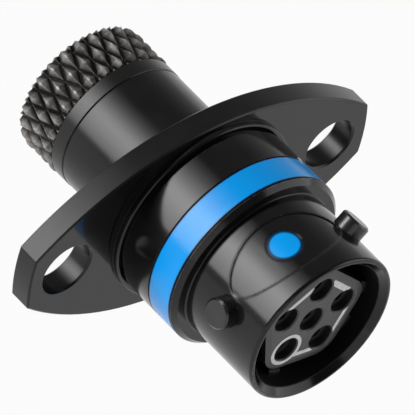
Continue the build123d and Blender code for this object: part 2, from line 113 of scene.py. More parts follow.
class Wiring:
    """Adds and links shader nodes in one tree."""

    def __init__(self, tree: bpy.types.NodeTree) -> None:
        """Take over the node tree of a material, a group, a lamp or the world."""
        self.tree = tree

    def node(self, kind: str, **settings: object) -> bpy.types.Node:
        """Add a node and set its properties.

        Args:
            kind: Node type without its "ShaderNode" prefix.
            **settings: Properties of the node, by name.

        Returns:
            The new node.
        """
        node = self.tree.nodes.new(f"ShaderNode{kind}")
        for name, value in settings.items():
            setattr(node, name, value)
        return node

    def feed(self, socket: Socket, source: Source) -> None:
        """Link a socket to an output, or give it a fixed value.

        Args:
            socket: The input to feed.
            source: An output socket, a number, a colour or a vector.
        """
        if isinstance(source, bpy.types.NodeSocket):
            self.tree.links.new(source, socket)
        elif isinstance(source, tuple) and socket.type == "RGBA":
            socket.default_value = (*source, 1.0)
        else:
            socket.default_value = source

    def supply(self, node: bpy.types.Node, **sources: Source) -> None:
        """Feed a node's inputs, by name with underscores for spaces."""
        for name, source in sources.items():
            self.feed(node.inputs[name.replace("_", " ")], source)

    def maths(
        self, operation: Operation, first: Source, second: Source = 0.0, clamp: bool = False
    ) -> Socket:
        """Combine two numbers.

        Args:
            operation: What to do with them.
            first: First operand.
            second: Second operand, left out by operations that take one.
            clamp: Keep the result between 0 and 1.

        Returns:
            The result's socket.
        """
        node = self.node("Math", operation=operation.value, use_clamp=clamp)
        self.feed(node.inputs[0], first)
        self.feed(node.inputs[1], second)
        return node.outputs[0]

    def product(self, first: Source, second: Source, clamp: bool = False) -> Socket:
        """Multiply two numbers, and keep the result between 0 and 1 where asked."""
        return self.maths(Operation.MULTIPLY, first, second, clamp)

    def total(self, first: Source, second: Source) -> Socket:
        """Add two numbers."""
        return self.maths(Operation.ADD, first, second)

    def ramp(self, value: Source, ramp: Ramp) -> Socket:
        """Map a value from one range to another.

        Args:
            value: The value to map.
            ramp: The two ranges.

        Returns:
            The mapped value's socket.
        """
        node = self.node("MapRange", clamp=True)
        sources = (value, ramp.low, ramp.high, ramp.to_low, ramp.to_high)
        for socket, source in zip(node.inputs, sources):
            self.feed(socket, source)
        return node.outputs[0]

    def rise(self, value: Source, start: float, blur: float) -> Socket:
        """Mark values beyond a start, from 0 to 1 over a blur."""
        return self.ramp(value, Ramp(start, start + blur))

    def fall(self, value: Source, start: float, blur: float) -> Socket:
        """Mark values up to a start, from 1 to 0 over a blur beyond it."""
        return self.ramp(value, Ramp(start, start + blur, 1.0, 0.0))

    def between(self, mask: Source, outside: Source, inside: Source) -> Socket:
        """Go from one value where a mask is 0 to another where it is 1."""
        return self.ramp(mask, Ramp(0.0, 1.0, outside, inside))

    def mix(self, factor: Source, base: Source, over: Source) -> Socket:
        """Lay one colour over another.

        Args:
            factor: How much of the upper colour shows.
            base: Lower colour.
            over: Upper colour.

        Returns:
            The resulting colour's socket.
        """
        node = self.node("Mix", data_type="RGBA")
        for place, source in zip(MIX_INPUTS, (factor, base, over)):
            self.feed(node.inputs[place], source)
        return node.outputs[MIX_OUTPUT]

    def vector(self, operation: Operation, first: Source, second: Source) -> Socket:
        """Combine two vectors.

        Args:
            operation: What to do with them.
            first: First operand.
            second: Second operand.

        Returns:
            The resulting vector's socket.
        """
        node = self.node("VectorMath", operation=operation.value)
        self.feed(node.inputs[0], first)
        self.feed(node.inputs[1], second)
        return node.outputs["Vector"]

    def component(self, vector: Socket, axis: Axis) -> Socket:
        """Take one component of a vector.

        Args:
            vector: The vector.
            axis: Which component.

        Returns:
            The component's socket.
        """
        split = self.node("SeparateXYZ")
        self.feed(split.inputs[0], vector)
        return split.outputs[axis.value]

    def place(self) -> Socket:
        """Coordinates in the connector's frame, in metres."""
        return self.node("TexCoord").outputs["Object"]

    def coordinate(self, axis: Axis) -> Socket:
        """Coordinate along one axis of the connector's frame, in metres."""
        return self.component(self.place(), axis)

    def distance(self, centre: Point = (0.0, 0.0, 0.0), along: Point = (1.0, 0.0, 1.0)) -> Socket:
        """Measure the distance from a point, or from the connector's axis if nothing is given.

        Args:
            centre: The point.
            along: 1 for each axis that counts and 0 for each that doesn't.

        Returns:
            The distance's socket, in metres.
        """
        offset = self.vector(Operation.SUBTRACT, self.place(), centre)
        length = self.node("VectorMath", operation=Operation.LENGTH.value)
        self.feed(length.inputs[0], self.vector(Operation.MULTIPLY, offset, along))
        return length.outputs["Value"]

    def noise(self, pattern: Pattern) -> Socket:
        """Sample a noise over the surface.

        Args:
            pattern: The noise.

        Returns:
            The noise's value socket.
        """
        node = self.node("TexNoise")
        self.supply(node, Vector=self.place(), Scale=pattern.scale)
        self.supply(node, Detail=pattern.detail, Roughness=pattern.rough)
        return node.outputs["Fac"]


@dataclass
class EffectLibrary:
    """Shader groups that several finishes share, each built when it is first asked for."""

    ring_detail: float = 3.0
    drift: Pattern = Pattern(220.0, 3.0)
    drift_strength: Ramp = Ramp(0.3, 0.7, 0.55, 1.0)
    grain_detail: float = 4.0
    grain_rough: float = 0.6
    cloud: Pattern = Pattern(480.0, 4.0)
    chips: Pattern = Pattern(2600.0, 5.0, 0.65)
    chip_strength: Ramp = Ramp(0.35, 0.65, 0.45, 1.35)
    rubbed_edge: Ramp = Ramp(0.32, 0.78)
    closed_corner: Ramp = Ramp(0.35, 0.95, 1.0, 0.0)
    rays: int = 8

    def begin(
        self, name: str, inputs: tuple[str, ...], outputs: tuple[str, ...]
    ) -> tuple[Wiring, bpy.types.Node, bpy.types.Node]:
        """Start a group and give it its sockets.

        Args:
            name: Name of the group.
            inputs: Names of the input sockets.
            outputs: Names of the output sockets.

        Returns:
            The group's wiring, its input node and its output node.
        """
        tree = bpy.data.node_groups.new(name, "ShaderNodeTree")
        for way, labels in (("INPUT", inputs), ("OUTPUT", outputs)):
            for label in labels:
                tree.interface.new_socket(name=label, in_out=way, socket_type="NodeSocketFloat")
        inlet, outlet = tree.nodes.new("NodeGroupInput"), tree.nodes.new("NodeGroupOutput")
        return Wiring(tree), inlet, outlet

    @cached_property
    def turning_marks(self) -> bpy.types.NodeTree:
        """Fine rings that a lathe tool leaves, along the axis and across faces.

        Returns:
            The group, with the rings' Height.
        """
        wiring, inlet, outlet = self.begin("turning_marks", ("Pitch",), ("Height",))
        travel = wiring.total(wiring.coordinate(Axis.Y), wiring.distance())
        turns = wiring.maths(Operation.DIVIDE, travel, inlet.outputs["Pitch"])
        rings = wiring.node("TexNoise", noise_dimensions="1D")
        wiring.supply(rings, W=turns, Scale=1.0, Detail=self.ring_detail)
        strength = wiring.ramp(wiring.noise(self.drift), self.drift_strength)
        wiring.supply(outlet, Height=wiring.product(rings.outputs["Fac"], strength))
        return wiring.tree

    @cached_property
    def grain(self) -> bpy.types.NodeTree:
        """Fine even grain of an etched, coated or moulded surface.

        Returns:
            The group, with the grain's Height and its softer Cloud.
        """
        wiring, inlet, outlet = self.begin("grain", ("Fineness",), ("Height", "Cloud"))
        fine = Pattern(inlet.outputs["Fineness"], self.grain_detail, self.grain_rough)
        wiring.supply(outlet, Height=wiring.noise(fine), Cloud=wiring.noise(self.cloud))
        return wiring.tree

    @cached_property
    def edge_wear(self) -> bpy.types.NodeTree:
        """Where outer edges rub bright, found by looking from the surface into the solid.

        Returns:
            The group, with the wear's Mask.
        """
        wiring, inlet, outlet = self.begin("edge_wear", ("Reach", "Amount"), ("Mask",))
        inside = wiring.node("AmbientOcclusion", samples=self.rays, inside=True, only_local=True)
        wiring.supply(inside, Distance=inlet.outputs["Reach"])
        near_edge = wiring.maths(Operation.SUBTRACT, 1.0, inside.outputs["AO"])
        chips = wiring.ramp(wiring.noise(self.chips), self.chip_strength)
        edge = wiring.ramp(wiring.product(near_edge, chips), self.rubbed_edge)
        wiring.supply(outlet, Mask=wiring.product(edge, inlet.outputs["Amount"], clamp=True))
        return wiring.tree

    @cached_property
    def recess_shading(self) -> bpy.types.NodeTree:
        """Where grooves and inner corners take painted shade, darker and duller.

        Returns:
            The group, with the recesses' Mask.
        """
        wiring, inlet, outlet = self.begin("recess_shading", ("Reach", "Amount"), ("Mask",))
        outside = wiring.node("AmbientOcclusion", samples=self.rays, only_local=False)
        wiring.supply(outside, Distance=inlet.outputs["Reach"])
        closed = wiring.ramp(outside.outputs["AO"], self.closed_corner)
        wiring.supply(outlet, Mask=wiring.product(closed, inlet.outputs["Amount"], clamp=True))
        return wiring.tree


class Paintwork:
    """One material under construction, with the shared effects at hand."""

    bevel_rays: int = 6

    def __init__(self, name: str, effects: EffectLibrary) -> None:
        """Start a material with a bare Principled shader.

        Args:
            name: Name of the material.
            effects: The shared shader groups.
        """
        self.material = bpy.data.materials.new(name)
        self.material.use_nodes = True
        self.effects = effects
        self.wiring = Wiring(self.material.node_tree)
        self.shader = self.material.node_tree.nodes["Principled BSDF"]

    def effect(self, group: bpy.types.NodeTree, **values: float) -> bpy.types.NodeOutputs:
        """Place a shared effect with its own values.

        Args:
            group: The shader group.
            **values: Values of its inputs, by name.

        Returns:
            The placed group's outputs.
        """
        node = self.wiring.node("Group", node_tree=group)
        self.wiring.supply(node, **values)
        return node.outputs

    def rings(self, pitch: float) -> Socket:
        """Height of turning marks that lie a pitch apart."""
        return self.effect(self.effects.turning_marks, Pitch=pitch)["Height"]

    def grain(self, fineness: float) -> tuple[Socket, Socket]:
        """Height and cloud of a grain with so many cells per metre."""
        outputs = self.effect(self.effects.grain, Fineness=fineness)
        return outputs["Height"], outputs["Cloud"]

    def wear(self, reach: float, amount: float) -> Socket:
        """Mask of the outer edges, rubbed as far as the reach."""
        return self.effect(self.effects.edge_wear, Reach=reach, Amount=amount)["Mask"]

    def painted_shade(self, reach: float, amount: float) -> Socket:
        """Mask of painted shade in the recesses that close within the reach."""
        return self.effect(self.effects.recess_shading, Reach=reach, Amount=amount)["Mask"]

    def grained(self, height: Socket, span: Span) -> Socket:
        """Let a value follow a grain's height over a span."""
        return self.wiring.ramp(height, Ramp(*GRAIN_HEIGHTS, *span))

    def relief(self, *layers: tuple[Socket, float], edge_round: Source | None = None) -> None:
        """Stack bump layers on the shader's normal.

        Args:
            *layers: Pairs of a height socket and its depth in metres.
            edge_round: Radius over which sharp edges shade as rounded, in metres.
        """
        normal: Socket | None = None
        if edge_round is not None:
            rounded = self.wiring.node("Bevel", samples=self.bevel_rays)
            self.wiring.supply(rounded, Radius=edge_round)
            normal = rounded.outputs["Normal"]
        for height, depth in layers:
            bump = self.wiring.node("Bump")
            self.wiring.supply(bump, Height=height, Distance=depth, Strength=1.0)
            if normal is not None:
                self.wiring.supply(bump, Normal=normal)
            normal = bump.outputs["Normal"]
        if normal is not None:
            self.set(Normal=normal)

    def set(self, **values: Source) -> None:
        """Set or link the shader's own inputs, by name with underscores for spaces."""
        self.wiring.supply(self.shader, **values)


@dataclass(frozen=True)
class Finish(ABC):
    """What a piece is made of or coated with, as far as it shows."""

    name: str

    def material(self, effects: EffectLibrary) -> bpy.types.Material:
        """Build the finish's material.

        Args:
            effects: The shared shader groups.

        Returns:
            The finished material.
        """
        work = Paintwork(self.name, effects)
        self.paint(work)
        return work.material

    @abstractmethod
    def paint(self, work: Paintwork) -> None:
        """Wire the finish.

        Args:
            work: The material under construction.
        """


@dataclass(frozen=True)
class AnodisedAluminium(Finish):
    """Hard black anodising over turned aluminium: deep black with a satin gloss."""

    name: str = "black_anodised"
    colour: Colour = (0.0058, 0.0056, 0.0056)
    bloom: Colour = (0.0094, 0.0090, 0.0088)
    recess_shade_colour: Colour = (0.002, 0.002, 0.002)
    bare_metal: Colour = (0.22, 0.212, 0.205)
    bore_shade_colour: Colour = (0.0015, 0.0015, 0.0015)
    cloud: Ramp = Ramp(0.35, 0.65)
    turned_roughness: float = 0.15
    milled_roughness: float = 0.30
    rear_roughness: float = 0.22
    faced_roughness: float = 0.10
    bore_roughness: float = 0.60
    ring_roughness: Ramp = Ramp(0.2, 0.7, -0.02, 0.03)
    recess_roughness: float = 0.12
    gloss_level: float = 0.31
    ring_pitch: float = 0.05 * MM
    ring_depth: float = 0.00012 * MM
    grain_fineness: float = 16000.0
    grain_depth: float = 0.00008 * MM
    wear_reach: float = 0.1 * MM
    wear_amount: float = 0.35
    shade_reach: float = 0.5 * MM
    shade_amount: float = 0.5
    edge_round: float = 0.035 * MM
    flange_thickness: float = 1.6 * MM
    flange_blur: float = 0.06 * MM
    rear_blur: float = 0.1 * MM
    facing: Ramp = Ramp(0.90, 0.98)
    bore_radius: float = 4.62 * MM
    bore_blur: float = 0.04 * MM
    bore_end: float = -3.0 * MM
    bore_end_blur: float = 0.2 * MM
    relief_station: float = 10.10 * MM
    relief_half_length: float = 2.05 * MM
    relief_height: float = 2.2 * MM
    relief_blur: float = 0.1 * MM
    relief_round: float = 0.26 * MM

    def paint(self, work: Paintwork) -> None:
        """Wire the finish.

        Args:
            work: The material under construction.
        """
        wiring = work.wiring
        rings = work.rings(self.ring_pitch)
        grain, cloud = work.grain(self.grain_fineness)
        wear = work.wear(self.wear_reach, self.wear_amount)
        painted_shade = work.painted_shade(self.shade_reach, self.shade_amount)
        bore = self.bore(wiring)
        colour = wiring.mix(wiring.ramp(cloud, self.cloud), self.colour, self.bloom)
        # Painted shade: grooves and inner corners darker
        colour = wiring.mix(painted_shade, colour, self.recess_shade_colour)
        colour = wiring.mix(wear, colour, self.bare_metal)
        # Painted shade: the bore darker, so that it looks deep
        colour = wiring.mix(bore, colour, self.bore_shade_colour)
        satin = wiring.ramp(rings, self.ring_roughness)
        satin = wiring.total(self.cut_roughness(wiring, bore), satin)
        satin = wiring.total(satin, wiring.product(painted_shade, self.recess_roughness))
        work.set(
            Base_Color=colour,
            Roughness=satin,
            Metallic=wear,
            Specular_IOR_Level=self.gloss_level,
        )
        edges = self.rounding(wiring)
        work.relief((rings, self.ring_depth), (grain, self.grain_depth), edge_round=edges)

    def bore(self, wiring: Wiring) -> Socket:
        """Mark the front barrel's bore, painted darker as shade and kept dull so that it looks
        deep.

        Args:
            wiring: The material's wiring.

        Returns:
            The mask's socket.
        """
        inward = wiring.fall(wiring.distance(), self.bore_radius, self.bore_blur)
        forward = wiring.fall(wiring.coordinate(Axis.Y), self.bore_end, self.bore_end_blur)
        return wiring.product(inward, forward)

    def cut_roughness(self, wiring: Wiring, bore: Socket) -> Socket:
        """Roughness that each cut leaves: turned, milled at the flange's sides, faced or bored.

        Args:
            wiring: The material's wiring.
            bore: Mask of the bore.

        Returns:
            The roughness's socket.
        """
        station = wiring.coordinate(Axis.Y)
        beyond = wiring.rise(station, -self.flange_thickness, self.flange_blur)
        before = wiring.fall(station, -self.flange_blur, self.flange_blur)
        rear = wiring.rise(station, 0.0, self.rear_blur)
        normal = wiring.component(wiring.node("TexCoord").outputs["Normal"], Axis.Y)
        faced = wiring.ramp(wiring.maths(Operation.ABSOLUTE, normal), self.facing)
        rough: Source = self.turned_roughness
        for mask, roughness in (
            (wiring.product(beyond, before), self.milled_roughness),
            (rear, self.rear_roughness),
            (faced, self.faced_roughness),
            (bore, self.bore_roughness),
        ):
            rough = wiring.between(mask, rough, roughness)
        return rough

    def rounding(self, wiring: Wiring) -> Socket:
        """Radius of the rounded edges, wider at the rim of the oval relief round the index dot.

        Args:
            wiring: The material's wiring.

        Returns:
            The radius's socket.
        """
        off_dot = wiring.total(wiring.coordinate(Axis.Y), self.relief_station)
        off_dot = wiring.maths(Operation.ABSOLUTE, off_dot)
        along = wiring.fall(off_dot, self.relief_half_length, self.relief_blur)
        above = wiring.rise(wiring.coordinate(Axis.Z), self.relief_height, self.relief_blur)
        return wiring.between(wiring.product(along, above), self.edge_round, self.relief_round)


@dataclass(frozen=True)
class KnurledAluminium(Finish):
    """The same anodising where a knurling wheel pressed it up: rubbed crests, painted shade in
    valleys.
    """

    name: str = "black_anodised_knurled"
    coat: Colour = (0.0110, 0.0105, 0.0101)
    rubbed: Colour = (0.30, 0.283, 0.270)
    bright: Colour = (0.72, 0.69, 0.66)
    valley_shade: Colour = (0.0015, 0.0015, 0.0015)
    knurl_front: float = 6.85 * MM
    knurl_blur: float = 0.05 * MM
    tooth: Ramp = Ramp(4.34 * MM, 4.62 * MM)
    crest_power: float = 1.1
    valley: Ramp = Ramp(0.0, 0.45, 1.0, 0.0)
    patches: Pattern = Pattern(1700.0, 4.0, 0.65)
    patch_strength: Ramp = Ramp(0.36, 0.64, 0.30, 1.45)
    roughness: float = 0.24
    rubbed_roughness: float = 0.52
    grain_roughness: Span = (-0.03, 0.05)
    rubbed_metal: float = 0.7
    gloss_level: float = 0.31
    ring_pitch: float = 0.05 * MM
    ring_depth: float = 0.0003 * MM
    grain_fineness: float = 14000.0
    grain_depth: float = 0.0004 * MM
    ridge_reach: float = 0.16 * MM
    ridge_amount: float = 1.0
    edge_round: float = 0.03 * MM

    def paint(self, work: Paintwork) -> None:
        """Wire the finish.

        Args:
            work: The material under construction.
        """
        wiring = work.wiring
        rings = work.rings(self.ring_pitch)
        grain, _ = work.grain(self.grain_fineness)
        on_knurl = wiring.rise(wiring.coordinate(Axis.Y), self.knurl_front, self.knurl_blur)
        patchy = wiring.ramp(wiring.noise(self.patches), self.patch_strength)
        height = wiring.ramp(wiring.distance(), self.tooth)
        crest = wiring.maths(Operation.POWER, height, self.crest_power)
        crest = wiring.product(crest, patchy, clamp=True)
        rubbed = wiring.product(crest, on_knurl, clamp=True)
        valley = wiring.product(wiring.ramp(height, self.valley), on_knurl)
        ridge = wiring.product(work.wear(self.ridge_reach, self.ridge_amount), on_knurl)
        ridge = wiring.product(ridge, patchy, clamp=True)
        # Painted shade: the valleys between the teeth darker
        colour = wiring.mix(valley, self.coat, self.valley_shade)
        colour = wiring.mix(rubbed, colour, self.rubbed)
        colour = wiring.mix(ridge, colour, self.bright)
        matt = wiring.between(rubbed, self.roughness, self.rubbed_roughness)
        metal = wiring.product(rubbed, self.rubbed_metal)
        work.set(
            Base_Color=colour,
            Roughness=wiring.total(matt, work.grained(grain, self.grain_roughness)),
            Metallic=wiring.maths(Operation.MAXIMUM, metal, ridge),
            Specular_IOR_Level=self.gloss_level,
        )
        work.relief((rings, self.ring_depth), (grain, self.grain_depth), edge_round=self.edge_round)


@dataclass(frozen=True)
class BlackenedSteel(Finish):
    """Blackened steel of the bayonet pins, rubbed brighter where a coupling ring slides."""

    name: str = "blackened_steel"
    colour: Colour = (0.008, 0.0078, 0.0076)
    rubbed: Colour = (0.24, 0.235, 0.23)
    cloud: Ramp = Ramp(0.4, 0.65, 0.0, 0.04)
    roughness: Span = (0.22, 0.3)
    rubbed_metal: float = 0.8
    gloss_level: float = 0.6
    grain_fineness: float = 16000.0
    grain_depth: float = 0.0008 * MM
    wear_reach: float = 0.14 * MM
    wear_amount: float = 0.7
    edge_round: float = 0.05 * MM

    def paint(self, work: Paintwork) -> None:
        """Wire the finish.

        Args:
            work: The material under construction.
        """
        wiring = work.wiring
        grain, cloud = work.grain(self.grain_fineness)
        wear = work.wear(self.wear_reach, self.wear_amount)
        colour = wiring.mix(wiring.ramp(cloud, self.cloud), self.colour, self.rubbed)
        work.set(
            Base_Color=wiring.mix(wear, colour, self.rubbed),
            Roughness=work.grained(grain, self.roughness),
            Metallic=wiring.product(wear, self.rubbed_metal),
            Specular_IOR_Level=self.gloss_level,
        )
        work.relief((grain, self.grain_depth), edge_round=self.edge_round)


@dataclass(frozen=True)
class Enamel(Finish):
    """Bright blue enamel, darker towards its border.

    The border lies at the reach from the centre, measured along the axes that count.
    """

    name: str = "blue_enamel"
    colour: Colour = (0.0, 0.325, 0.86)
    thin: Colour = (0.0, 0.308, 0.82)
    border: Colour = (0.0, 0.022, 0.07)
    border_width: float = 0.10 * MM
    border_fade: float = 0.6
    centre: Point = (0.0, 0.0, 0.0)
    reach: float = 1.0 * MM
    along: Point = (1.0, 1.0, 1.0)
    cloud: Ramp = Ramp(0.3, 0.7)
    roughness: Span = (0.19, 0.25)
    gloss_level: float = 0.27
    grain_fineness: float = 3200.0
    grain_depth: float = 0.0004 * MM
    edge_round: float = 0.04 * MM

    def paint(self, work: Paintwork) -> None:
        """Wire the finish.

        Args:
            work: The material under construction.
        """
        wiring = work.wiring
        grain, cloud = work.grain(self.grain_fineness)
        away = wiring.distance(self.centre, self.along)
        fade = self.border_fade * self.border_width
        rim = wiring.rise(away, self.reach - self.border_width, fade)
        colour = wiring.mix(wiring.ramp(cloud, self.cloud), self.colour, self.thin)
        work.set(
            Base_Color=wiring.mix(rim, colour, self.border),
            Roughness=work.grained(grain, self.roughness),
            Specular_IOR_Level=self.gloss_level,
        )
        work.relief((grain, self.grain_depth), edge_round=self.edge_round)


@dataclass(frozen=True)
class PrintingInk(Finish):
    """White marking ink, thin enough for the plastic to show through in places."""

    name: str = "white_marking_ink"
    colour: Colour = (0.93, 0.93, 0.92)
    thin: Colour = (0.66, 0.66, 0.66)
    patches: Pattern = Pattern(3800.0, 4.0, 0.6)
    patch_strength: Ramp = Ramp(0.45, 0.7, 0.0, 0.6)
    roughness: Span = (0.5, 0.65)
    grain_fineness: float = 9000.0
    grain_depth: float = 0.0015 * MM
    rim_reach: float = 0.05 * MM
    rim_amount: float = 0.8

    def paint(self, work: Paintwork) -> None:
        """Wire the finish.

        Args:
            work: The material under construction.
        """
        wiring = work.wiring
        grain, _ = work.grain(self.grain_fineness)
        rim = work.wear(self.rim_reach, self.rim_amount)
        patchy = wiring.ramp(wiring.noise(self.patches), self.patch_strength)
        colour = wiring.mix(patchy, self.colour, self.thin)
        work.set(
            Base_Color=wiring.mix(rim, colour, self.thin),
            Roughness=work.grained(grain, self.roughness),
        )
        work.relief((grain, self.grain_depth))


@dataclass(frozen=True)
class MouldedPlastic(Finish):
    """Dark grey moulded insert plastic with a fine matt skin."""

    name: str = "insert_plastic"
    colour: Colour = (0.034, 0.0345, 0.0365)
    skin: Colour = (0.050, 0.050, 0.0535)
    rubbed_and_lit_edge: Colour = (0.20, 0.20, 0.21)
    hole_shade: Colour = (0.012, 0.012, 0.013)
    cloud: Ramp = Ramp(0.35, 0.65)
    roughness: Span = (0.36, 0.5)
    gloss_level: float = 0.5
    grain_fineness: float = 11000.0
    grain_depth: float = 0.002 * MM
    wear_reach: float = 0.08 * MM
    wear_amount: float = 0.55
    hole_shade_reach: float = 1.6 * MM
    hole_shade_amount: float = 1.0

    def paint(self, work: Paintwork) -> None:
        """Wire the finish.

        Args:
            work: The material under construction.
        """
        wiring = work.wiring
        grain, cloud = work.grain(self.grain_fineness)
        wear = work.wear(self.wear_reach, self.wear_amount)
        hole_shade = work.painted_shade(self.hole_shade_reach, self.hole_shade_amount)
        colour = wiring.mix(wiring.ramp(cloud, self.cloud), self.colour, self.skin)
        # Outer edges lighter: partly rubbed plastic, partly a painted edge highlight
        colour = wiring.mix(wear, colour, self.rubbed_and_lit_edge)
        work.set(
            # Painted shade: the cavities darker inside
            Base_Color=wiring.mix(hole_shade, colour, self.hole_shade),
            Roughness=work.grained(grain, self.roughness),
            Specular_IOR_Level=self.gloss_level,
        )
        work.relief((grain, self.grain_depth))


@dataclass(frozen=True)
class SiliconeRubber(Finish):
    """Dull red-brown silicone of the wire grommet."""

    name: str = "grommet_rubber"
    colour: Colour = (0.23, 0.055, 0.035)
    bloom: Colour = (0.30, 0.10, 0.075)
    recess_shade_colour: Colour = (0.06, 0.015, 0.01)
    cloud: Ramp = Ramp(0.35, 0.65)
    roughness: Span = (0.55, 0.75)
    gloss_level: float = 0.4
    sheen: float = 0.1
    grain_fineness: float = 8000.0
    grain_depth: float = 0.004 * MM
    shade_reach: float = 0.6 * MM
    shade_amount: float = 0.6

    def paint(self, work: Paintwork) -> None:
        """Wire the finish.

        Args:
            work: The material under construction.
        """
        wiring = work.wiring
        grain, cloud = work.grain(self.grain_fineness)
        painted_shade = work.painted_shade(self.shade_reach, self.shade_amount)
        colour = wiring.mix(wiring.ramp(cloud, self.cloud), self.colour, self.bloom)
        work.set(
            # Painted shade: recesses darker
            Base_Color=wiring.mix(painted_shade, colour, self.recess_shade_colour),
            Roughness=work.grained(grain, self.roughness),
            Specular_IOR_Level=self.gloss_level,
            Sheen_Weight=self.sheen,
        )
        work.relief((grain, self.grain_depth))


@dataclass(frozen=True)
class BareMetal(Finish):
    """A plated or passivated small metal part: gold, stainless steel or spring copper."""

    colour: Colour
    tarnish: Colour
    roughness: float
    cloud: Ramp = Ramp(0.4, 0.7, 0.0, 0.8)
    grain_roughness: Span = (-0.04, 0.08)
    grain_fineness: float = 12000.0
    ring_pitch: float = 0.03 * MM
    ring_depth: float = 0.0008 * MM

    def paint(self, work: Paintwork) -> None:
        """Wire the finish.

        Args:
            work: The material under construction.
        """
        wiring = work.wiring
        rings = work.rings(self.ring_pitch)
        grain, cloud = work.grain(self.grain_fineness)
        smoother, rougher = (self.roughness + swing for swing in self.grain_roughness)
        work.set(
            Base_Color=wiring.mix(wiring.ramp(cloud, self.cloud), self.colour, self.tarnish),
            Roughness=work.grained(grain, (smoother, rougher)),
            Metallic=1.0,
        )
        work.relief((rings, self.ring_depth))


class Dresser:
    """Puts finishes on pieces and reports each one."""

    def __init__(self, nodes: dict[str, bpy.types.Object], effects: EffectLibrary) -> None:
        """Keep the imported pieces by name, and the shared effects."""
        self.nodes = nodes
        self.effects = effects

    def middle(self, name: str) -> tuple[Point, float]:
        """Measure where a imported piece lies.

        Args:
            name: The piece.

        Returns:
            The middle of its box and half of its length along the axis, in metres.
        """
        points = [corner.co for corner in self.nodes[name].data.vertices]
        low = [min(point[k] for point in points) for k in range(3)]
        high = [max(point[k] for point in points) for k in range(3)]
        centre = tuple((low[k] + high[k]) / 2 for k in range(3))
        return centre, (high[1] - low[1]) / 2

    def coat(self, finish: Finish, *names: str) -> None:
        """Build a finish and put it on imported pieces.

        Args:
            finish: The finish.
            *names: The pieces that take it.
        """
        material = finish.material(self.effects)
        for name in names:
            mesh = self.nodes[name].data
            mesh.materials.clear()
            mesh.materials.append(material)
            log.info("%s takes %s", name, finish.name)

    def add(self, finish: Finish, *pieces: bpy.types.Object) -> None:
        """Place new pieces on the connector and put a finish on them.

        Args:
            finish: The finish.
            *pieces: The new pieces.
        """
        material = finish.material(self.effects)
        for piece in pieces:
            bpy.context.scene.collection.objects.link(piece)
            piece.data.materials.append(material)
            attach(piece, "root")
            log.info("%s takes %s", piece.name, finish.name)


@dataclass(frozen=True)
class ShellAssembly:
    """The turned shell with its colour band, index dot and bayonet pins."""

    pins: int = 3
    anodising: AnodisedAluminium = AnodisedAluminium()
    band_enamel: Enamel = Enamel(along=(0.0, 1.0, 0.0))
    dot_enamel: Enamel = Enamel(
        name="blue_enamel_dot",
        colour=(0.0, 0.37, 0.96),
        thin=(0.0, 0.355, 0.93),
        border_width=0.22 * MM,
    )
    pin_steel: BlackenedSteel = BlackenedSteel()

    def dress(self, dresser: Dresser) -> None:
        """Give every piece its finish.

        Args:
            dresser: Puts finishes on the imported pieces.
        """
        dresser.coat(self.anodising, "shell")
        for enamel, name in ((self.band_enamel, "colour_band"), (self.dot_enamel, "index_dot")):
            centre, reach = dresser.middle(name)
            dresser.coat(replace(enamel, centre=centre, reach=reach), name)
        dresser.coat(self.pin_steel, *(f"bayonet_pin_{k + 1}" for k in range(self.pins)))


@dataclass(frozen=True)
class RearEnd:
    """The knurled adaptor and the wire grommet inside it."""

    anodising: KnurledAluminium = KnurledAluminium()
    rubber: SiliconeRubber = SiliconeRubber()

    def dress(self, dresser: Dresser) -> None:
        """Give every piece its finish."""
        dresser.coat(self.anodising, "rear_adaptor")
        dresser.coat(self.rubber, "sealing_grommet")


@dataclass(frozen=True)
class GuideBar:
    """One bar of the guide line: which gap it crosses and how far out it lies."""

    gap: int
    inner: float
    outer: float


